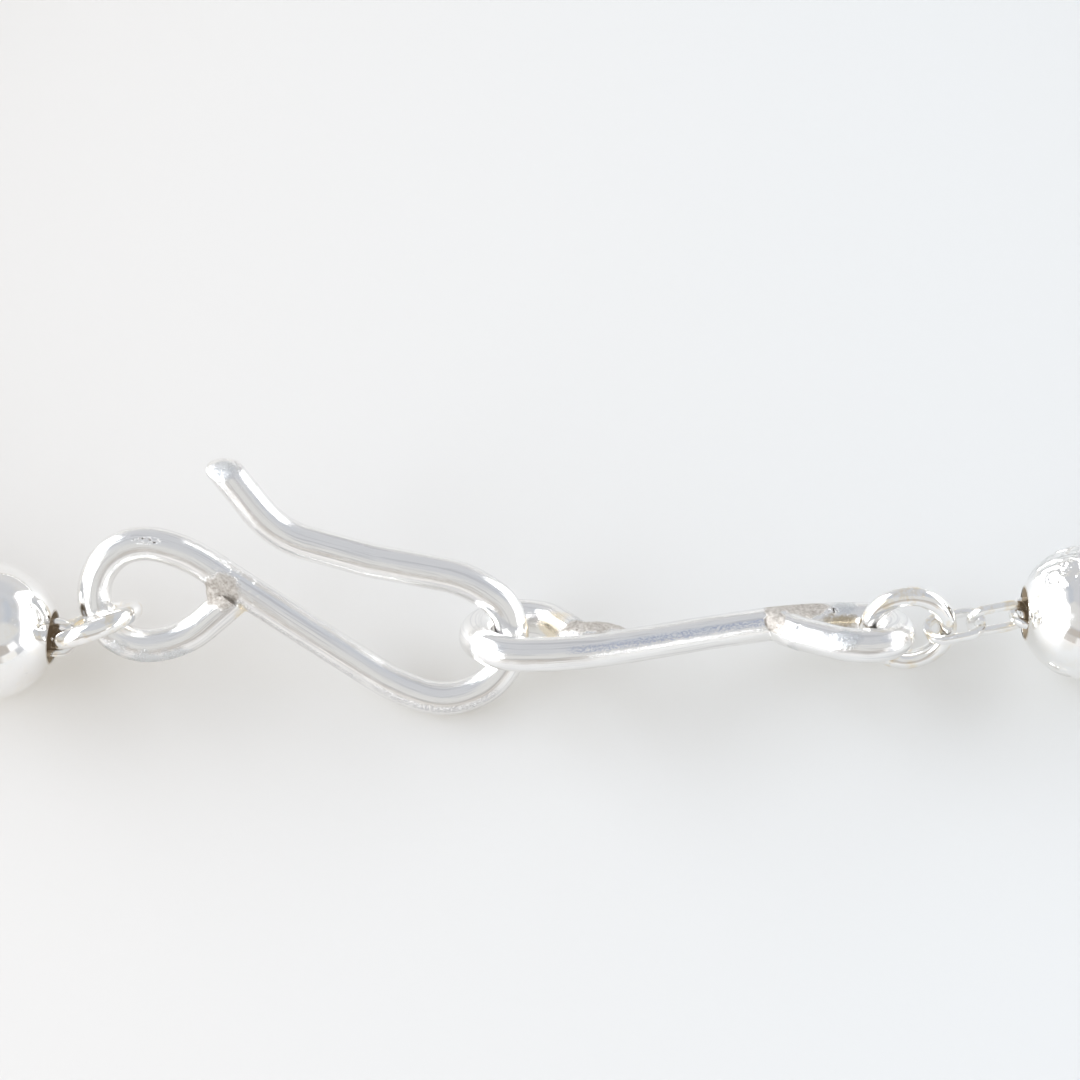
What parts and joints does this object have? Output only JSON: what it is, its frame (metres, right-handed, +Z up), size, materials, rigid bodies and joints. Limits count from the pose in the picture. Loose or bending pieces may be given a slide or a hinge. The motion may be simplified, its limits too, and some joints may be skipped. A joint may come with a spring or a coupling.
{
  "type": "silver bead necklace",
  "caption": "Necklace of hollow round silver beads on a fine cable chain, closed by a long wire hook and a double wire eye on jump rings.",
  "frame": {"origin": "on the surface that the necklace lies on, under the middle of its bounding box", "axes": "+Z up from the surface, -Y towards the clasp side, +X from the hook towards the eye"},
  "size_m": [0.1592, 0.1136, 0.012],
  "materials": {
    "bead_silver": "polished silver with fine wrinkles and small dents",
    "wire_silver": "polished silver wire with drawn lines, matte grey-brown solder at the joints",
    "ring_silver": "polished silver",
    "chain_silver": "polished silver, a little dull inside the beads"
  },
  "bodies": {
    "root": {"hook": "wire_silver", "eye": "wire_silver", "jump_ring_hook": "ring_silver", "jump_ring_eye": "ring_silver", "chain": "chain_silver", "bead_01": "bead_silver", "bead_02": "bead_silver", "bead_03": "bead_silver", "bead_04": "bead_silver", "bead_05": "bead_silver", "bead_06": "bead_silver", "bead_07": "bead_silver", "bead_08": "bead_silver", "bead_09": "bead_silver", "bead_10": "bead_silver", "bead_11": "bead_silver", "bead_12": "bead_silver", "bead_13": "bead_silver", "bead_14": "bead_silver", "bead_15": "bead_silver", "bead_16": "bead_silver", "bead_17": "bead_silver", "bead_18": "bead_silver", "bead_19": "bead_silver", "bead_20": "bead_silver", "bead_21": "bead_silver", "bead_22": "bead_silver", "bead_23": "bead_silver", "bead_24": "bead_silver", "bead_25": "bead_silver", "bead_26": "bead_silver", "bead_27": "bead_silver", "bead_28": "bead_silver", "bead_29": "bead_silver", "bead_30": "bead_silver", "bead_31": "bead_silver", "bead_32": "bead_silver", "bead_33": "bead_silver", "bead_34": "bead_silver", "bead_35": "bead_silver", "bead_36": "bead_silver", "bead_37": "bead_silver", "bead_38": "bead_silver", "bead_39": "bead_silver", "bead_40": "bead_silver"}
  },
  "joints": []
}
